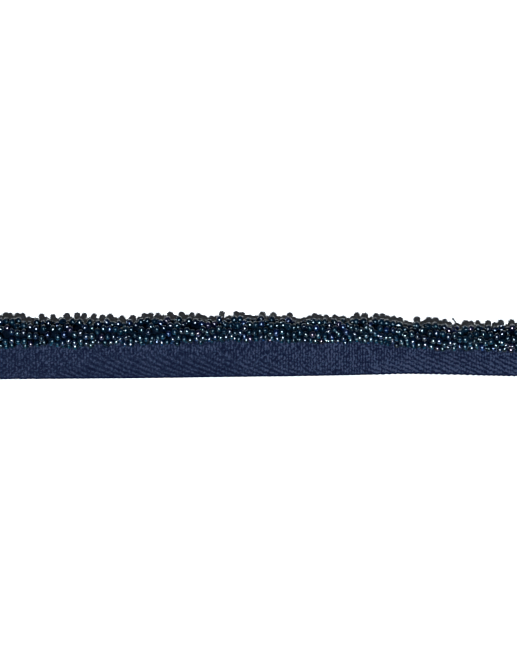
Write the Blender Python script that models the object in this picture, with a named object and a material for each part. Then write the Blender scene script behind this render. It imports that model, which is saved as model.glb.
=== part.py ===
"""Beaded piping: a straight cut length of navy twill tape with a round roll of dark glass seed
beads sewn along one edge. Metres, +Z up. The length runs along X, the tape lies flat on z = 0
and reaches out towards -Y, and the bead roll lies along the tape's other edge."""

import math
import random
from collections import namedtuple

import bmesh
import bpy
import numpy as np

LENGTH = 0.180  # the cut length, end to end
BEAD_WIDTH = 0.0023  # across one seed bead
BEAD_PITCH = 0.00182  # from one bead to the next along a strand
STRANDS = 7  # strands of beads side by side around the roll
STRAND_LAY = 30.0  # rad per metre that the strands turn around the roll
SWAY_TURN = 0.54  # rad that the strands sway to each side of an even lay
SWAY_LENGTH = 0.130  # length of one sway
SWAY_MIDDLE = -0.010  # place along X where the strands lie straightest

STRAND_COLUMNS = 3  # columns of points across one strand: its groove and two shoulders
BETWEEN_BEADS = 0.00060  # depth of the dip between two beads of a strand
BETWEEN_STRANDS = 0.00085  # depth of the groove between two strands
UNEVEN = 0.00050  # how much lower than its neighbours a bead may sit
PRESS_FLAT = 0.00020  # how far the roll's underside is pressed flat where it lies

TAPE_THICKNESS = 0.0010
SEWN_THICKNESS = 0.0009  # the tape pressed thinner where it is sewn under the roll
TAPE_STATIONS = 90  # straight steps in the tape's edges
SEAM_GAP = 0.00035  # between the tape's sewn edge and the beads above it

BEAD_COLOUR = (0.010, 0.022, 0.045)
TAPE_COLOUR = (0.017, 0.028, 0.066)

# The hand-laid roll and the tape's cut edge wander a little along the length.
Section = namedtuple("Section", "along roll_across roll_radius tape_edge")
SECTIONS = (
    Section(-0.0900, 0.00470, 0.00468, -0.01030),
    Section(-0.0821, 0.00468, 0.00468, -0.01026),
    Section(-0.0694, 0.00452, 0.00437, -0.01019),
    Section(-0.0567, 0.00452, 0.00452, -0.01010),
    Section(-0.0440, 0.00460, 0.00392, -0.01000),
    Section(-0.0313, 0.00532, 0.00425, -0.00987),
    Section(-0.0186, 0.00540, 0.00402, -0.00968),
    Section(-0.0027, 0.00590, 0.00382, -0.00949),
    Section(0.0132, 0.00524, 0.00397, -0.00930),
    Section(0.0259, 0.00520, 0.00376, -0.00905),
    Section(0.0338, 0.00550, 0.00395, -0.00889),
    Section(0.0449, 0.00405, 0.00384, -0.00851),
    Section(0.0545, 0.00365, 0.00425, -0.00857),
    Section(0.0624, 0.00296, 0.00402, -0.00873),
    Section(0.0735, 0.00290, 0.00405, -0.00905),
    Section(0.0821, 0.00286, 0.00425, -0.00921),
    Section(0.0900, 0.00285, 0.00428, -0.00935),
)


def smooth_column(name):
    """The smooth curve through one column of the sections, as a function of the place along X."""
    stations = np.array([section.along for section in SECTIONS])
    values = np.array([getattr(section, name) for section in SECTIONS])
    slopes = np.gradient(values, stations)

    def value(along):
        span = int(np.clip(np.searchsorted(stations, along) - 1, 0, len(stations) - 2))
        width = stations[span + 1] - stations[span]
        t = (along - stations[span]) / width
        straight = (values[span + 1] - values[span]) / width
        bend_in = (slopes[span] - straight) * t * (1 - t) ** 2
        bend_out = (slopes[span + 1] - straight) * t * t * (1 - t)
        return float(values[span] + width * (straight * t + bend_in - bend_out))

    return value


roll_across = smooth_column("roll_across")
roll_radius = smooth_column("roll_radius")
tape_edge = smooth_column("tape_edge")


def roll_height(along):
    """Height of the roll's axis, with the lowest beads pressed against the surface."""
    return roll_radius(along) - PRESS_FLAT


def strand_turn(along):
    """How far the strands have turned around the roll at this place along the length."""
    sway = SWAY_TURN * math.sin(math.tau * (along - SWAY_MIDDLE) / SWAY_LENGTH)
    return sway - STRAND_LAY * along


def clear_scene():
    for thing in list(bpy.data.objects):
        bpy.data.objects.remove(thing, do_unlink=True)


def plain_material(name, colour, roughness, metallic):
    material = bpy.data.materials.new(name)
    material.use_nodes = True
    shader = material.node_tree.nodes["Principled BSDF"]
    shader.inputs["Base Color"].default_value = (*colour, 1.0)
    shader.inputs["Roughness"].default_value = roughness
    shader.inputs["Metallic"].default_value = metallic
    material.diffuse_color = (*colour, 1.0)
    return material


def finished_object(name, mesh_edit, material):
    """The edited mesh as one named object. Its faces already point out."""
    mesh = bpy.data.meshes.new(name)
    mesh_edit.to_mesh(mesh)
    mesh_edit.free()
    mesh.materials.append(material)
    thing = bpy.data.objects.new(name, mesh)
    bpy.context.scene.collection.objects.link(thing)
    return thing


def bead_roll():
    """The roll's outer form: strands of beads laid around it, each bead a small hill with two
    shoulders, and every second strand half a bead further on. Its ends are cut square across."""
    columns = STRAND_COLUMNS * STRANDS
    rings = 2 * round(LENGTH / BEAD_PITCH) + 1
    uneven = random.Random(11)
    sinks = [
        [uneven.uniform(0.0, UNEVEN) for bead in range(rings // 2 + 1)] for strand in range(STRANDS)
    ]
    mesh_edit = bmesh.new()
    bmesh.ops.create_cone(
        mesh_edit, cap_ends=True, segments=columns, radius1=1.0, radius2=1.0, depth=1.0
    )
    lengthwise = [
        edge for edge in mesh_edit.edges if abs(edge.verts[0].co.z - edge.verts[1].co.z) > 0.5
    ]
    bmesh.ops.subdivide_edges(mesh_edit, edges=lengthwise, cuts=rings - 2, use_grid_fill=True)
    for vertex in mesh_edit.verts:
        ring = round((vertex.co.z + 0.5) * (rings - 1))
        column = round(math.atan2(vertex.co.y, vertex.co.x) / math.tau * columns) % columns
        strand = column // STRAND_COLUMNS
        in_groove = column % STRAND_COLUMNS == 0
        on_bead = (ring + strand) % 2 == 0
        at_end = ring in (0, rings - 1)
        along = LENGTH * (ring / (rings - 1) - 0.5)
        radius = roll_radius(along) - sinks[strand][ring // 2]
        if at_end:
            radius -= BEAD_WIDTH / 2
        elif in_groove:
            radius -= BETWEEN_STRANDS
        elif not on_bead:
            radius -= BETWEEN_BEADS
        angle = strand_turn(along) - math.tau * column / columns
        across = roll_across(along) + radius * math.sin(angle)
        height = roll_height(along) + radius * math.cos(angle)
        vertex.co = (along, across, max(height, 0.0))
    glass = plain_material("seed_beads", BEAD_COLOUR, roughness=0.15, metallic=0.2)
    return finished_object("bead_roll", mesh_edit, glass)


def lip_end(along):
    """Where the open lip ends: just short of the beads that overhang it."""
    return roll_across(along) - roll_radius(along) - SEAM_GAP


def sewn_edge(along):
    """Where the tape goes in under the roll, as far as the beads above leave room for it."""
    reach = roll_radius(along) + SEAM_GAP
    drop = roll_height(along) - TAPE_THICKNESS
    return roll_across(along) - math.sqrt(reach * reach - drop * drop)


def twill_tape():
    """The flat sewing tape: its open lip, and the strip beside it that goes in under the roll."""
    rows = ((tape_edge, TAPE_THICKNESS), (lip_end, TAPE_THICKNESS), (sewn_edge, SEWN_THICKNESS))
    strips = len(rows) - 1
    mesh_edit = bmesh.new()
    bmesh.ops.create_grid(mesh_edit, x_segments=TAPE_STATIONS, y_segments=strips, size=0.5)
    raised = bmesh.ops.extrude_face_region(mesh_edit, geom=mesh_edit.faces[:])
    top = [item for item in raised["geom"] if isinstance(item, bmesh.types.BMVert)]
    bmesh.ops.translate(mesh_edit, verts=top, vec=(0.0, 0.0, 1.0))
    for vertex in mesh_edit.verts:
        along = LENGTH * vertex.co.x
        across, thickness = rows[round((vertex.co.y + 0.5) * strips)]
        vertex.co = (along, across(along), thickness * vertex.co.z)
    bmesh.ops.recalc_face_normals(mesh_edit, faces=mesh_edit.faces)
    cotton = plain_material("navy_twill", TAPE_COLOUR, roughness=0.9, metallic=0.0)
    return finished_object("twill_tape", mesh_edit, cotton)


clear_scene()
bead_roll()
twill_tape()
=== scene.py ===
"""The looks of a cut length of beaded piping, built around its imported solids.

Metres, +Z up. The trim runs along X. Its twill tape lies flat and reaches out towards -Y, and its
roll of seed beads lies along the tape's other edge."""

import math
from collections import namedtuple

import bmesh
import bpy
import numpy as np
from mathutils import Matrix, Vector


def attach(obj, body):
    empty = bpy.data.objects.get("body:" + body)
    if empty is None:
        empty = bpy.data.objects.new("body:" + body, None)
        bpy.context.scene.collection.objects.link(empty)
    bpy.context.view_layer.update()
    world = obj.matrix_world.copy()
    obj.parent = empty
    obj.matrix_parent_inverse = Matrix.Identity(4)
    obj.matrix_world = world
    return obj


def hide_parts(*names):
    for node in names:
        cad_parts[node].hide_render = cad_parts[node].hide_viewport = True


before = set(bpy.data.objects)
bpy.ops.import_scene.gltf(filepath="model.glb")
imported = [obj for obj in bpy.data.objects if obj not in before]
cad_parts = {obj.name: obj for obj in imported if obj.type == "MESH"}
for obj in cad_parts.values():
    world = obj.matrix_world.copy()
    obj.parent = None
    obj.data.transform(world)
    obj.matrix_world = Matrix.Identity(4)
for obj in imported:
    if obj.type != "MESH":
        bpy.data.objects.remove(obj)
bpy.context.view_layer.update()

# Driving sizes, the same as the solids have
LENGTH = 0.180
BEAD_WIDTH = 0.0023
BEAD_PITCH = 0.00182
STRANDS = 7
STRAND_LAY = 30.0
SWAY_TURN = 0.54
SWAY_LENGTH = 0.130
SWAY_MIDDLE = -0.010
PRESS_FLAT = 0.00020
TAPE_THICKNESS = 0.0010
SEAM_GAP = 0.00035

Section = namedtuple("Section", "along roll_across roll_radius tape_edge")
# The roll and the tape's edge wander a little along the length
SECTIONS = (
    Section(-0.0900, 0.00470, 0.00468, -0.01030),
    Section(-0.0821, 0.00468, 0.00468, -0.01026),
    Section(-0.0694, 0.00452, 0.00437, -0.01019),
    Section(-0.0567, 0.00452, 0.00452, -0.01010),
    Section(-0.0440, 0.00460, 0.00392, -0.01000),
    Section(-0.0313, 0.00532, 0.00425, -0.00987),
    Section(-0.0186, 0.00540, 0.00402, -0.00968),
    Section(-0.0027, 0.00590, 0.00382, -0.00949),
    Section(0.0132, 0.00524, 0.00397, -0.00930),
    Section(0.0259, 0.00520, 0.00376, -0.00905),
    Section(0.0338, 0.00550, 0.00395, -0.00889),
    Section(0.0449, 0.00405, 0.00384, -0.00851),
    Section(0.0545, 0.00365, 0.00425, -0.00857),
    Section(0.0624, 0.00296, 0.00402, -0.00873),
    Section(0.0735, 0.00290, 0.00405, -0.00905),
    Section(0.0821, 0.00286, 0.00425, -0.00921),
    Section(0.0900, 0.00285, 0.00428, -0.00935),
)

# The seed beads
BEAD_LENGTH = 0.00176
BEAD_HOLE = 0.00085
BEAD_SIDES = 10
BEAD_CROWD = 0.97  # how close two beads come, as a share of touching
BEAD_REACH = 1.30  # how far apart two beads still make room for each other, in bead widths
SETTLING_ROUNDS = 60
NEAR_SIDE = -1.7  # the turn of the beads beside the tape
NEAR_SPREAD = 0.45
NEAR_LIFT = 0.00035  # how far they stand out
FAR_SIDE = math.radians(70.0)  # the turn of the beads that throw the outline of the roll's shadow
FAR_SPREAD = math.radians(40.0)

# The roll's tints of glass: the share of the beads, the colour of their gloss, of the glass by
# itself, and a lighter colour painted on the beads to stand in for light that gets through
Glass = namedtuple("Glass", "name share sheen body through")
GLASSES = (
    Glass("ink_glass", 0.27, (0.74, 0.86, 1.00), (0.0004, 0.0030, 0.0110), (0.004, 0.032, 0.100)),
    Glass("teal_glass", 0.23, (0.70, 0.90, 1.00), (0.0004, 0.0044, 0.0112), (0.003, 0.050, 0.092)),
    Glass("plum_glass", 0.07, (0.94, 0.86, 1.00), (0.0014, 0.0026, 0.0110), (0.014, 0.022, 0.082)),
    Glass("blue_glass", 0.06, (0.48, 0.66, 1.00), (0.0004, 0.0028, 0.0155), (0.004, 0.032, 0.120)),
    Glass("deep_glass", 0.37, (0.20, 0.30, 0.36), (0.0004, 0.0038, 0.0104), (0.004, 0.050, 0.098)),
)

# The beads on the far side of the roll that stand proud of their neighbours
PROUD_LEAST_STEP = 0.0016  # from one of them to the next along the roll
PROUD_MORE_STEP = 0.0014  # how much more it is on average
PROUD_LIFT = 0.00050  # how far one stands out of the even roll on average
PROUD_SPREAD = 0.00016
PROUD_LEAST = 0.00026
PROUD_MOST = 0.00090
PROUD_DRAW = 3  # which random draw of them

GROUND_DEPTH = 0.0020  # from the outside of the roll down to the ground under the beads

# The weave of the tape
PICK_PITCH = 0.00089  # between the threads that cross the tape
PICKS_CLOSE_UP = 0.5  # per metre, how much closer they lie to the right
END_PITCH = 0.000365  # between the threads that run along it
ENDS_SPREAD = 0.106  # how the threads along it lie wider apart towards the roll, left and middle
SPREAD_MIDDLE = 2.2  # mm from the free edge, where they lie END_PITCH apart all along the tape
TWILL_REPEAT = 4
RIB_HEIGHT = 0.00004
EDGE_ROUND = 0.00055  # width of the rounding along the woven edge
TOP_ROUNDING = 0.35  # how far the edge is rounded on top, as a share of the thickness
UNDER_ROUNDING = 0.25
LOOPS_FROM = 0.034  # place along X from which the loops of the woven edge stand out more
LOOP_LEAST = 0.00005
LOOP_MORE = 0.00016
TUCK_DEPTH = 0.0018  # how far the tape goes in between the beads, out of sight
TUCK_RISE = 0.0013
TUCK_THINNING = 0.0006

# The threads
WINDING_PITCH = 0.0006  # between the turns of the cotton under the beads
TWIST_PITCH = 0.0005  # of the sewing cotton
STITCH_THICKNESS = 0.00024
STITCH_SUNK = 0.00020  # how far below the tape's face a stitch begins
STITCH_CLIMB = 0.0009  # how far it climbs in between the beads at its other end
STITCH_INSET = 0.003  # from the ends of the trim to the first and the last stitch
LOOSE_END_THICKNESS = 0.00050
LOOSE_END = (
    (0.0625, 0.0038, 0.0064),
    (0.0624, 0.0046, 0.0076),
    (0.0620, 0.0053, 0.0086),
    (0.0615, 0.0059, 0.0094),
    (0.0609, 0.0063, 0.0099),
)


def smooth_column(name):
    """The smooth curve through one column of the sections, as a function of places along X."""
    stations = np.array([section.along for section in SECTIONS])
    values = np.array([getattr(section, name) for section in SECTIONS])
    slopes = np.gradient(values, stations)

    def value(along):
        span = np.clip(np.searchsorted(stations, along) - 1, 0, len(stations) - 2)
        width = stations[span + 1] - stations[span]
        t = (along - stations[span]) / width
        straight = (values[span + 1] - values[span]) / width
        bend_in = (slopes[span] - straight) * t * (1 - t) ** 2
        bend_out = (slopes[span + 1] - straight) * t * t * (1 - t)
        return values[span] + width * (straight * t + bend_in - bend_out)

    return value


roll_across = smooth_column("roll_across")
roll_radius = smooth_column("roll_radius")
tape_edge = smooth_column("tape_edge")


def roll_height(along):
    """Height of the roll's axis, with the lowest beads pressed against the surface."""
    return roll_radius(along) - PRESS_FLAT


def roll_axis(along):
    """The roll's axis at these places: how far across, and how high."""
    return np.stack([roll_across(along), roll_height(along)], axis=1)


def sewn_edge(along):
    """Where the tape goes in under the roll."""
    reach = roll_radius(along) + SEAM_GAP
    drop = roll_height(along) - TAPE_THICKNESS
    return roll_across(along) - np.sqrt(reach * reach - drop * drop)


def strand_turn(along):
    """How far the strands have turned around the roll at this place along the length."""
    sway = SWAY_TURN * np.sin(math.tau * (along - SWAY_MIDDLE) / SWAY_LENGTH)
    return sway - STRAND_LAY * along


class Number:
    """A number or colour that varies over a surface. Sums on it add the nodes that work them
    out."""

    def __init__(self, finish, socket):
        self.finish = finish
        self.socket = socket

    def maths(self, operation, *values):
        inputs = dict(enumerate(values))
        return self.finish.node("ShaderNodeMath", {"operation": operation}, inputs)

    def __add__(self, other):
        return self.maths("ADD", self, other)

    __radd__ = __add__

    def __sub__(self, other):
        return self.maths("SUBTRACT", self, other)

    def __rsub__(self, other):
        return self.maths("SUBTRACT", other, self)

    def __mul__(self, other):
        return self.maths("MULTIPLY", self, other)

    __rmul__ = __mul__

    def __truediv__(self, other):
        return self.maths("DIVIDE", self, other)

    def __pow__(self, other):
        return self.maths("POWER", self, other)

    def __lt__(self, other):
        return self.maths("LESS_THAN", self, other)

    def floor(self):
        return self.maths("FLOOR", self)

    def fraction(self):
        return self.maths("FRACT", self)

    def sine(self):
        return self.maths("SINE", self)


class Finish:
    """One material, with the node tree that feeds its shader."""

    def __init__(self, name):
        self.material = bpy.data.materials.new(name)
        self.material.use_nodes = True
        self.tree = self.material.node_tree
        self.shader = self.tree.nodes["Principled BSDF"]

    def feed(self, socket, value):
        if isinstance(value, Number):
            self.tree.links.new(value.socket, socket)
        else:
            socket.default_value = value

    def node(self, kind, settings=None, inputs=None, output=0):
        """Adds a node: first its settings, then the values or links of its sockets."""
        added = self.tree.nodes.new(kind)
        for name, value in (settings or {}).items():
            if name == "stops":
                set_stops(added.color_ramp, value)
            else:
                setattr(added, name, value)
        for name, value in (inputs or {}).items():
            self.feed(added.inputs[name], value)
        return Number(self, added.outputs[output])

    def place(self):
        """The point's own X, Y and Z on the piece."""
        spot = self.node("ShaderNodeTexCoord", output="Object")
        return [
            self.node("ShaderNodeSeparateXYZ", None, {0: spot}, output=axis) for axis in range(3)
        ]

    def point(self, x, y, z):
        return self.node("ShaderNodeCombineXYZ", None, {0: x, 1: y, 2: z})

    def noise(self, point, scale, detail=2.0):
        inputs = {"Vector": point, "Scale": scale, "Detail": detail}
        return self.node("ShaderNodeTexNoise", None, inputs)

    def rise(self, value, start, end):
        """0 up to the start, 1 past the end, and smooth between them."""
        inputs = {"Value": value, "From Min": start, "From Max": end}
        return self.node("ShaderNodeMapRange", {"interpolation_type": "SMOOTHSTEP"}, inputs)

    def ramp(self, value, stops):
        return self.node("ShaderNodeValToRGB", {"stops": stops}, {0: value})

    def mix(self, first, second, share):
        inputs = {0: share, 6: first, 7: second}
        return self.node("ShaderNodeMix", {"data_type": "RGBA"}, inputs, output=2)

    def set(self, **inputs):
        """Sets the shader's own sockets, named with _ for a space."""
        for name, value in inputs.items():
            self.feed(self.shader.inputs[name.replace("_", " ")], value)

    def bump(self, height, distance, strength=1.0):
        inputs = {"Height": height, "Distance": distance, "Strength": strength}
        self.set(Normal=self.node("ShaderNodeBump", None, inputs))


def set_stops(ramp, stops):
    elements = ramp.elements
    while len(elements) < len(stops):
        elements.new(0.5)
    for element, (position, colour) in zip(elements, stops):
        element.position = position
        element.color = (*colour, 1.0)


def seed_glass(glass):
    """Dark glass in one of the roll's tints. Low on the side that faces the tape, each bead is
    painted a dim, lighter teal: painted light, standing in for the light that gets through the
    glass."""
    finish = Finish(glass.name)
    tint = finish.node("ShaderNodeAttribute", {"attribute_name": "bead_tint"}, output="Fac")
    painted_glow_share = finish.node("ShaderNodeAttribute", {"attribute_name": "bead_glow"}, output="Fac")
    facing = finish.node("ShaderNodeNewGeometry", output="Normal")
    low_side = finish.node(
        "ShaderNodeVectorMath",
        {"operation": "DOT_PRODUCT"},
        {0: facing, 1: (0.0, -0.80, 0.60)},
        output="Value",
    )
    # Painted light: the colour is mixed towards a lighter teal where the surface faces this fixed
    # direction, low towards the tape
    painted_glow_mask = finish.rise(low_side, 0.86, 0.99)
    dark = [channel * 0.6 for channel in glass.body]
    light = [channel * 1.5 for channel in glass.body]
    body = finish.ramp(tint, [(0.0, dark), (1.0, light)])
    colour = finish.mix(body, (*glass.through, 1.0), painted_glow_mask * painted_glow_share)
    finish.set(Base_Color=colour, Roughness=tint * 0.04 + 0.03)
    finish.set(IOR=1.56, Specular_IOR_Level=0.26, Specular_Tint=(*glass.sheen, 1.0))
    return finish.material


def navy_twill():
    """Cotton twill. The threads that cross the tape float over two or three of the threads along
    it and dip under the next, one thread lower on each crossing thread, which makes slanting ribs.
    On the left the ribs reach nearly up to the roll, past the middle they fade and the crossing
    threads show alone, and on the right the ribs come back. Where there are none, the threads lie
    over and under by turns, and their order is lost in wear."""
    finish = Finish("navy_twill_cloth")
    x, y, z = finish.place()
    from_edge = finish.node("ShaderNodeAttribute", {"attribute_name": "from_edge"}, output="Fac")
    spot = finish.point(x, y, z)
    rightwards = finish.rise(x, -0.030, 0.035)

    # The threads that cross the tape and those along it, counted, and a little out of line
    wander = finish.noise(spot, scale=160.0, detail=1.0) - 0.5
    wobble = finish.noise(spot, scale=1100.0, detail=1.0) - 0.5
    pick_wander = wobble * (0.0014 - rightwards * 0.0005) + wander * 0.0006
    end_wander = wobble * 0.0004 + wander * 0.0008
    spread = finish.rise(x, 0.050, 0.030) * ENDS_SPREAD
    even_pick = x * (x * PICKS_CLOSE_UP + 1) / PICK_PITCH
    even_end = from_edge * (0.001 / END_PITCH + spread * (2 * SPREAD_MIDDLE - from_edge))
    pick = even_pick + pick_wander / PICK_PITCH
    end = even_end + end_wander / END_PITCH
    across_pick = 1 - (pick.fraction() * 2 - 1) ** 2

    # The slanting ribs
    step = ((pick.floor() + end) / TWILL_REPEAT).fraction()
    slope = ((even_pick + end) / TWILL_REPEAT).fraction()
    rib = ((step * 0.4 + slope * 0.6) * math.tau).sine()
    rib_depth = rightwards * 0.08 + 0.26
    pick_depth = rightwards * 0.18 + 0.12
    ribs = rib * rib_depth + (across_pick - 0.5) * pick_depth

    # The worn threads between them, and how often their order changes in a metre
    changes = finish.rise(x, -0.035, -0.060) * 650 + 556
    disorder = finish.noise(finish.point(pick.floor() * 0.731, y * changes, z), scale=1.0)
    by_turns = (pick.floor() * 0.5 + end / TWILL_REPEAT + disorder * 2.0).fraction()
    float_top = (by_turns * math.pi).sine()
    straight = rightwards * 0.28 - finish.rise(x, 0.035, 0.060) * 0.20 + 0.12
    worn = (float_top * (1 - straight) + straight) * across_pick * 0.95 - straight * 0.23 - 0.38

    # How far the ribs reach, in millimetres from the free edge
    patches = finish.noise(spot, scale=70.0, detail=1.0)
    left_loss = finish.rise(x, -0.048, -0.070) * 6.0
    middle_loss = finish.rise(x, -0.015, 0.022) * 6.5
    right_gain = finish.rise(x, 0.030, 0.055) * 6.5
    ribs_reach = 9.5 - left_loss - middle_loss + right_gain
    ribbed = finish.rise(ribs_reach - from_edge + (patches - 0.5) * 6.0, 0.0, 5.0)

    fibres = finish.noise(finish.point(x * 3.0, y, z), scale=2600.0, detail=1.0) - 0.5
    grain = finish.noise(spot, scale=1700.0) - 0.5
    # Painted shade of the weave: the colour is painted lighter on the tops of the threads and ribs
    # and darker in the grooves between them. The fibres and the grain add tone at random.
    weave = ribs * ribbed + worn * (1 - ribbed)
    height = weave + fibres * 0.8 + grain * (rightwards * 0.6 + 1.8)
    depth = rightwards * 0.33 + 1.02 - finish.rise(x, -0.058, -0.078) * 0.22
    near_edge = finish.rise(from_edge, 6.0, 1.5)
    pale_ends = finish.rise(x, 0.000, 0.050) * 0.18 + finish.rise(x, -0.060, -0.080) * 0.12
    tone = (pale_ends - 0.08) * near_edge
    light = 0.42 - rightwards * 0.04 + height * depth + (patches - 0.5) * 0.25 + tone
    cool = finish.ramp(
        light,
        [
            (0.0, (0.0026, 0.0054, 0.0185)),
            (0.5, (0.0080, 0.0156, 0.0370)),
            (1.0, (0.0250, 0.0450, 0.0900)),
        ],
    )
    warm = finish.ramp(
        light,
        [
            (0.0, (0.0030, 0.0048, 0.0160)),
            (0.5, (0.0092, 0.0136, 0.0330)),
            (1.0, (0.0360, 0.0410, 0.0780)),
        ],
    )
    hue = finish.noise(spot, scale=1300.0, detail=1.0)
    colour = finish.mix(cool, warm, hue)
    # Within 0.6 mm of the free edge the colour turns a darker blue, painted lighter across the
    # middle of each crossing thread and darker between them
    loops = finish.ramp(
        across_pick * 0.6 + grain + 0.2,
        [(0.0, (0.0010, 0.0020, 0.0090)), (1.0, (0.0040, 0.0072, 0.0240))],
    )
    colour = finish.mix(colour, loops, (from_edge < 0.6) * 0.95)
    finish.set(Base_Color=colour, Roughness=0.95, Specular_IOR_Level=0.0)
    finish.bump(height, distance=0.00015, strength=0.6)
    return finish.material


def ground_cloth():
    """The wound near-black cotton under the beads."""
    finish = Finish("wound_cotton")
    x, y, z = finish.place()
    turns = (x / WINDING_PITCH * math.tau).sine()
    mottle = finish.noise(finish.point(x, y, z), scale=1500.0)
    stops = [(0.2, (0.0006, 0.0018, 0.0050)), (0.9, (0.0014, 0.0036, 0.0095))]
    colour = finish.ramp(mottle, stops)
    finish.set(Base_Color=colour, Roughness=0.95, Specular_IOR_Level=0.0)
    finish.bump(turns * 0.5 + mottle, distance=0.0001)
    return finish.material


def sewing_cotton():
    """Navy sewing thread with a fine twist."""
    finish = Finish("sewing_cotton")
    x, y, z = finish.place()
    twist = ((x + y + z) * (math.tau / TWIST_PITCH)).sine()
    stops = [(0.0, (0.004, 0.007, 0.018)), (1.0, (0.010, 0.016, 0.040))]
    colour = finish.ramp(twist * 0.5 + 0.5, stops)
    finish.set(Base_Color=colour, Roughness=0.9, Specular_IOR_Level=0.0)
    return finish.material


def piece_of(name, mesh, *materials):
    """A finished mesh as a piece of the trim."""
    for material in materials:
        mesh.materials.append(material)
    mesh.polygons.foreach_set("use_smooth", [True] * len(mesh.polygons))
    thing = bpy.data.objects.new(name, mesh)
    bpy.context.scene.collection.objects.link(thing)
    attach(thing, "root")
    return thing


def mesh_from(mesh_edit, name):
    """The edited mesh, finished, with its faces pointing out."""
    bmesh.ops.recalc_face_normals(mesh_edit, faces=mesh_edit.faces)
    mesh = bpy.data.meshes.new(name)
    mesh_edit.to_mesh(mesh)
    mesh_edit.free()
    return mesh


def bead_shape():
    """One seed bead with its hole along X: the points and the faces of a rounded section spun
    around the hole."""
    half = BEAD_LENGTH / 2
    outside = BEAD_WIDTH / 2
    hole = BEAD_HOLE / 2
    section = (
        (-0.82 * half, hole),
        (-1.00 * half, 0.56 * outside),
        (-0.68 * half, 0.86 * outside),
        (0.00 * half, 1.00 * outside),
        (0.68 * half, 0.86 * outside),
        (1.00 * half, 0.56 * outside),
        (0.82 * half, hole),
    )
    mesh_edit = bmesh.new()
    corners = [mesh_edit.verts.new((along, 0.0, out)) for along, out in section]
    ring = corners[1:] + corners[:1]
    edges = [mesh_edit.edges.new(pair) for pair in zip(corners, ring)]
    bmesh.ops.spin(
        mesh_edit,
        geom=corners + edges,
        axis=(1.0, 0.0, 0.0),
        angle=math.tau,
        steps=BEAD_SIDES,
        use_merge=True,
    )
    bmesh.ops.recalc_face_normals(mesh_edit, faces=mesh_edit.faces)
    mesh_edit.verts.index_update()
    points = np.array([vertex.co for vertex in mesh_edit.verts])
    faces = np.array([[vertex.index for vertex in face.verts] for face in mesh_edit.faces])
    mesh_edit.free()
    return points, faces


def slow_drift(chance, along, wave):
    """A smooth random curve along the roll, from about -1 to 1, with waves of about this length."""
    drift = np.zeros_like(along)
    for stretch in (0.7, 1.0, 1.6):
        drift += np.sin(math.tau * (along / (wave * stretch) + chance.random()))
    return drift / 2.0


def one_strand(chance, number):
    """The beads of one strand in order: where along, at what turn, and how far each stands out
    of the even roll."""
    count = round(LENGTH / BEAD_PITCH)
    steps = 1.0 + chance.normal(0.0, 0.10, count)
    steps += 0.60 * (chance.random(count) < 0.10)  # here and there a gap
    along = np.cumsum(steps)
    along = (along / along[-1] * (count - 0.5) + chance.uniform(-0.5, 0.0)) * BEAD_PITCH
    along -= LENGTH / 2
    angle = strand_turn(along) - math.tau * (number + 0.5) / STRANDS
    angle += 0.10 * slow_drift(chance, along, 0.022) + chance.normal(0.0, 0.20, count)
    lift = 0.00025 * slow_drift(chance, along, 0.008) + chance.normal(-0.00005, 0.00025, count)
    return along, angle, lift


def stand_proud(chance, along, angle, lift):
    """Lifts some beads of the far side proud of the others there, which sink a little. The beads
    beside the tape stand out a little too."""
    metres_per_turn = 0.0030  # how much a turn counts in the search for the nearest bead
    turn = np.angle(np.exp(1j * angle))
    lift += NEAR_LIFT * np.exp(-(((turn - NEAR_SIDE) / NEAR_SPREAD) ** 2))
    sunk = np.minimum(lift, 0.0) - 0.00015 - 0.00025 * (chance.random(len(along)) < 0.4)
    lift = np.where(np.abs(turn - FAR_SIDE) < FAR_SPREAD, sunk, lift)
    draw = np.random.default_rng(PROUD_DRAW)
    place = PROUD_LEAST_STEP - LENGTH / 2
    while place < LENGTH / 2 - PROUD_LEAST_STEP:
        proud = np.argmin(np.hypot(along - place, (turn - FAR_SIDE) * metres_per_turn))
        angle[proud] += FAR_SIDE - turn[proud]
        turn[proud] = FAR_SIDE
        along[proud] = place
        lift[proud] = np.clip(draw.normal(PROUD_LIFT, PROUD_SPREAD), PROUD_LEAST, PROUD_MOST)
        place += PROUD_LEAST_STEP + draw.exponential(PROUD_MORE_STEP)
    return lift


def push_off_tape(middles):
    """Moves beads that reach into the tape straight out of it."""
    edge = sewn_edge(middles[:, 0])
    nearest = middles.copy()
    nearest[:, 1] = np.minimum(middles[:, 1], edge)
    nearest[:, 2] = np.clip(middles[:, 2], 0.0, TAPE_THICKNESS)
    away = middles - nearest
    distance = np.linalg.norm(away, axis=1)
    short = np.clip(BEAD_WIDTH / 2 - distance, 0.0, None)
    return middles + away / np.maximum(distance, 1e-6)[:, None] * short[:, None]


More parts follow.
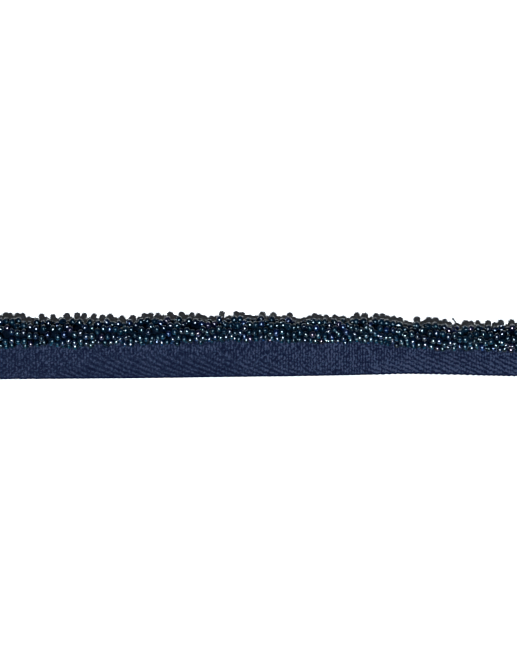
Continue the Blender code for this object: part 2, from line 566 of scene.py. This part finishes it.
def settle(middles, lift):
    """Moves crowded beads apart, and each one back towards the roll it is sewn on."""
    squeeze = np.array([BEAD_WIDTH / BEAD_LENGTH, 1.0, 1.0])
    furthest = (LENGTH - BEAD_LENGTH) / 2
    for number in range(SETTLING_ROUNDS):
        if number % 10 == 0:
            gap = np.abs(middles[:, None, 0] - middles[None, :, 0])
            first, second = np.nonzero(np.triu(gap < 1.5 * BEAD_WIDTH, 1))
        apart = middles[first] - middles[second]
        distance = np.linalg.norm(apart * squeeze, axis=1)
        push = np.clip(BEAD_CROWD * BEAD_WIDTH - distance, 0.0, None) * 0.3
        push += np.clip(BEAD_REACH * BEAD_WIDTH - distance, 0.0, None) * 0.03
        push = apart / np.maximum(np.linalg.norm(apart, axis=1), 1e-6)[:, None] * push[:, None]
        np.add.at(middles, first, push)
        np.add.at(middles, second, -push)
        along = np.clip(middles[:, 0], -furthest, furthest)
        out = middles[:, 1:] - roll_axis(along)
        far = np.linalg.norm(out, axis=1)
        wanted = roll_radius(along) - BEAD_WIDTH / 2 + lift
        out *= (1 + 0.3 * (wanted / far - 1))[:, None]
        middles[:, 0] = along
        middles[:, 1] = roll_across(along) + out[:, 0]
        middles[:, 2] = np.maximum(roll_height(along) + out[:, 1], BEAD_WIDTH / 2)
        middles = push_off_tape(middles)
    return middles


def turned(chance, on_far_side):
    """How one bead is turned: its hole along the strand, more or less, and spun at random. The
    beads of the far side are turned the most."""
    askew = chance.random() < 0.12
    tilt = 0.45 if askew or on_far_side else 0.18
    sideways = Matrix.Rotation(chance.normal(0.0, tilt), 3, "Z")
    upwards = Matrix.Rotation(chance.normal(0.0, tilt), 3, "Y")
    spin = Matrix.Rotation(chance.uniform(0.0, math.tau), 3, "X")
    return np.array(sideways @ upwards @ spin)


def seed_beads():
    """All the beads, one piece for each strand."""
    glasses = [seed_glass(glass) for glass in GLASSES]
    chance = np.random.default_rng(5)
    points, faces = bead_shape()
    strands = [one_strand(chance, number) for number in range(STRANDS)]
    along, angle, lift = (np.concatenate(column) for column in zip(*strands))
    lift = stand_proud(chance, along, angle, lift)
    strand = np.repeat(np.arange(STRANDS), [len(beads[0]) for beads in strands])
    out = roll_radius(along) - BEAD_WIDTH / 2 + lift
    across = roll_across(along) + out * np.sin(angle)
    height = roll_height(along) + out * np.cos(angle)
    middles = settle(np.stack([along, across, height], axis=1), lift)
    outward = middles[:, 1:] - roll_axis(middles[:, 0])
    far_side = np.abs(np.arctan2(outward[:, 0], outward[:, 1]) - FAR_SIDE) < FAR_SPREAD
    tints = chance.random(len(middles))
    # How much of that painted light each bead gets: most on the beads towards the tape, none on the
    # far side
    painted_glow_shares = tints * np.clip(0.45 - outward[:, 0] / 0.0045, 0.0, 0.75)
    kinds = chance.choice(len(GLASSES), len(middles), p=[glass.share for glass in GLASSES])
    sizes = chance.normal(1.04, 0.05, (len(middles), 3))
    for number in range(STRANDS):
        chosen = np.nonzero(strand == number)[0]
        all_points = []
        for bead in chosen:
            turn = turned(chance, far_side[bead])
            all_points.append((points * sizes[bead]) @ turn.T + middles[bead])
        all_points = np.concatenate(all_points)
        all_points[:, 2] = np.maximum(all_points[:, 2], 0.0)
        first = np.arange(len(chosen))[:, None, None] * len(points)
        all_faces = (faces[None] + first).reshape(-1, 4)
        mesh = bpy.data.meshes.new(f"bead_strand_{number + 1:02d}")
        mesh.from_pydata(all_points.tolist(), [], all_faces.tolist())
        for name, values in (("bead_tint", tints), ("bead_glow", painted_glow_shares)):
            shade = mesh.attributes.new(name, "FLOAT", "POINT")
            of_points = np.repeat(values[chosen], len(points)).astype(np.float32)
            shade.data.foreach_set("value", of_points)
        mesh.polygons.foreach_set("material_index", np.repeat(kinds[chosen], len(faces)))
        piece = piece_of(mesh.name, mesh, *glasses)
        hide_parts("bead_roll")


def roll_ground(material):
    """The wound ground that the beads are sewn on, a little thinner than the ring of beads."""
    sides = 24
    rings = 181
    end_inset = 0.0006
    mesh_edit = bmesh.new()
    bmesh.ops.create_cone(
        mesh_edit, cap_ends=True, segments=sides, radius1=1.0, radius2=1.0, depth=1.0
    )
    lengthwise = [
        edge for edge in mesh_edit.edges if abs(edge.verts[0].co.z - edge.verts[1].co.z) > 0.5
    ]
    bmesh.ops.subdivide_edges(mesh_edit, edges=lengthwise, cuts=rings - 2, use_grid_fill=True)
    for vertex in mesh_edit.verts:
        along = vertex.co.z * (LENGTH - 2 * end_inset)
        radius = roll_radius(along) - GROUND_DEPTH
        across = roll_across(along) + radius * vertex.co.y
        height = roll_height(along) + radius * vertex.co.x
        vertex.co = (along, across, height)
    piece = piece_of("roll_ground", mesh_from(mesh_edit, "roll_ground"), material)


def loop_reach(along):
    """How far the small loops of the crossing threads stand out of the woven edge. They are
    plainest on the right."""
    most = np.clip((along - LOOPS_FROM) / 0.006, 0.0, 1.0) * LOOP_MORE + LOOP_LEAST
    uneven = 2.0 * np.sin(along / 0.004)
    return most * (0.5 + 0.5 * np.sin(math.tau * along / (2 * PICK_PITCH) + uneven))


def twill_tape(material):
    """The tape with the low ribs of its weave on both faces and a rounded woven edge. Past the
    place where it meets the beads it thins and climbs between them to the ground that it is
    sewn to."""
    steps_along = round(LENGTH / (PICK_PITCH / 4))
    steps_across = 56
    open_share = 48 / steps_across
    mesh_edit = bmesh.new()
    bmesh.ops.create_grid(mesh_edit, x_segments=steps_along, y_segments=steps_across, size=0.5)
    raised = bmesh.ops.extrude_face_region(mesh_edit, geom=mesh_edit.faces[:])
    top = [item for item in raised["geom"] if isinstance(item, bmesh.types.BMVert)]
    bmesh.ops.translate(mesh_edit, verts=top, vec=(0.0, 0.0, 1.0))
    mesh = mesh_from(mesh_edit, "twill_tape_cloth")
    points = np.zeros(len(mesh.vertices) * 3)
    mesh.vertices.foreach_get("co", points)
    points = points.reshape(-1, 3)
    along = points[:, 0] * LENGTH
    share = np.clip((points[:, 1] + 0.5) / open_share, 0.0, 1.0)
    tucked = np.clip((points[:, 1] + 0.5 - open_share) / (1 - open_share), 0.0, 1.0)
    is_top = points[:, 2] > 0.5
    edge = tape_edge(along) + 0.0001 - loop_reach(along)
    across = edge * (1 - share) + sewn_edge(along) * share
    from_edge = across - edge
    rounding = np.clip(1 - from_edge / EDGE_ROUND, 0.0, 1.0) ** 2
    edge_mm = from_edge * 1000.0
    spread = (1 - np.clip((along - 0.030) / 0.020, 0.0, 1.0)) * ENDS_SPREAD
    slant = along * (along * PICKS_CLOSE_UP + 1) / PICK_PITCH
    slant += edge_mm * (0.001 / END_PITCH + spread * (2 * SPREAD_MIDDLE - edge_mm))
    slant *= math.tau / TWILL_REPEAT
    top_height = TAPE_THICKNESS - RIB_HEIGHT * (1 - np.sin(slant))
    top_height -= rounding * TOP_ROUNDING * TAPE_THICKNESS
    under_height = RIB_HEIGHT * (1 - np.sin(slant + 1.0))
    under_height += rounding * UNDER_ROUNDING * TAPE_THICKNESS
    climb = TUCK_RISE * tucked ** 1.5
    top_height += climb - TUCK_THINNING * tucked
    under_height += climb
    points[:, 0] = along
    points[:, 1] = across + TUCK_DEPTH * tucked
    points[:, 2] = np.where(is_top, top_height, under_height)
    mesh.vertices.foreach_set("co", points.ravel())
    reach = mesh.attributes.new("from_edge", "FLOAT", "POINT")
    reach.data.foreach_set("value", edge_mm.astype(np.float32))
    mesh.update()
    piece = piece_of("twill_tape_cloth", mesh, material)
    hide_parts("twill_tape")
    width = float(np.mean(sewn_edge(along) - tape_edge(along)))
    width += math.hypot(TUCK_DEPTH, TUCK_RISE)


def threads(name, routes, thickness, material):
    """Threads that follow these routes, as one piece."""
    curve = bpy.data.curves.new(name, "CURVE")
    curve.dimensions = "3D"
    curve.bevel_depth = thickness / 2
    curve.bevel_resolution = 1
    curve.use_fill_caps = True
    for route in routes:
        spline = curve.splines.new("POLY")
        spline.points.add(len(route) - 1)
        for point, place in zip(spline.points, route):
            point.co = (*place, 1.0)
    guide = bpy.data.objects.new(name + "_guide", curve)
    mesh = bpy.data.meshes.new_from_object(guide)
    bpy.data.objects.remove(guide)
    bpy.data.curves.remove(curve)
    piece = piece_of(name, mesh, material)


def sewing(material):
    """Stitches that come up through the tape, lie along it and go in under the lowest beads, and
    the loose end of one sewing thread on top of the roll."""
    chance = np.random.default_rng(8)
    routes = []
    middle = -LENGTH / 2 + STITCH_INSET
    while middle < LENGTH / 2 - STITCH_INSET:
        lip = float(roll_across(middle) - roll_radius(middle) - SEAM_GAP)
        lean = chance.normal(0.0, 0.0005)
        start = lip + chance.uniform(-0.0009, -0.0002)
        end = float(sewn_edge(middle)) + 0.0007
        route = []
        for share in np.linspace(0.0, 1.0, 9):
            out_of_tape = 1 - (1 - min(share * 4.0, 1.0)) ** 2
            height = TAPE_THICKNESS - STITCH_SUNK + STITCH_THICKNESS * out_of_tape
            height += STITCH_CLIMB * share ** 4
            route.append((middle + lean * share, start + (end - start) * share, height))
        routes.append(route)
        middle += chance.uniform(1.2, 3.0) * BEAD_PITCH
    threads("sewing_stitches", routes, STITCH_THICKNESS, material)
    threads("loose_thread_end", [LOOSE_END], LOOSE_END_THICKNESS, material)


def studio():
    """A white floor, a white backdrop around it that only the camera sees, the photo's hard light
    in two parts, a dim room and the camera."""
    scale = 0.0003175  # metres in one pixel of the photo
    scale_height = 0.004  # the height above the floor that has this scale
    photo_height = 671
    middle_row = 335.5
    roll_line = 347.5  # the pixel row that lies on y = 0
    lens, sensor = 85.0, 36.0
    floor_reach = 12.0
    backdrop_radius, backdrop_height = 4.0, 6.0

    mesh_edit = bmesh.new()
    bmesh.ops.create_grid(mesh_edit, x_segments=1, y_segments=1, size=floor_reach)
    floor = bpy.data.objects.new("floor", mesh_from(mesh_edit, "floor"))
    bpy.context.scene.collection.objects.link(floor)
    white = Finish("white_backing")
    white.set(Base_Color=(0.72, 0.78, 0.82, 1.0), Roughness=1.0, Specular_IOR_Level=0.0)
    floor.data.materials.append(white.material)

    mesh_edit = bmesh.new()
    bmesh.ops.create_cone(
        mesh_edit,
        segments=64,
        radius1=backdrop_radius,
        radius2=backdrop_radius,
        depth=2 * backdrop_height,
    )
    backdrop = bpy.data.objects.new("backdrop", mesh_from(mesh_edit, "backdrop"))
    bpy.context.scene.collection.objects.link(backdrop)
    paper = Finish("white_paper")
    paper.set(Base_Color=(0.0, 0.0, 0.0, 1.0), Roughness=1.0, Specular_IOR_Level=0.0)
    paper.set(Emission_Color=(1.0, 1.0, 1.0, 1.0), Emission_Strength=1.2)
    paper.material.cycles.emission_sampling = "NONE"
    backdrop.data.materials.append(paper.material)
    backdrop.visible_diffuse = False
    backdrop.visible_glossy = False
    backdrop.visible_shadow = False

    room = bpy.data.worlds.new("dim_room")
    room.use_nodes = True
    air = room.node_tree.nodes["Background"]
    air.inputs["Color"].default_value = (0.97, 0.95, 1.00, 1.0)
    air.inputs["Strength"].default_value = 0.053
    bpy.context.scene.world = room

    # The key lights the cloth and throws the shadow. The sparkle is the same light as the glass
    # shows it, and is wide enough to be seen in every bead.
    towards_light = Vector((-0.12, -0.30, 1.0)).normalized()
    key = bpy.data.lights.new("key", "SUN")
    key.energy = 5.6
    key.angle = math.radians(1.0)
    sparkle = bpy.data.lights.new("sparkle", "AREA")
    sparkle.shape = "DISK"
    sparkle.size = 0.17
    sparkle.energy = 41.0
    for light in (key, sparkle):
        lamp = bpy.data.objects.new(light.name, light)
        lamp.location = towards_light * 0.6
        lamp.rotation_euler = (-towards_light).to_track_quat("-Z", "Y").to_euler()
        bpy.context.scene.collection.objects.link(lamp)
    bpy.data.objects["sparkle"].visible_diffuse = False
    bpy.data.objects["key"].visible_glossy = False

    camera = bpy.data.objects.new("camera", bpy.data.cameras.new("camera"))
    camera.data.lens = lens
    camera.data.sensor_width = sensor
    camera.data.clip_start = 0.01
    camera.data.clip_end = 50.0
    distance = photo_height * scale * lens / sensor
    camera.location = (0.0, (roll_line - middle_row) * scale, distance + scale_height)
    bpy.context.scene.collection.objects.link(camera)
    bpy.context.scene.camera = camera
    bpy.context.scene.view_settings.view_transform = "Standard"


studio()
seed_beads()
roll_ground(ground_cloth())
twill_tape(navy_twill())
sewing(sewing_cotton())
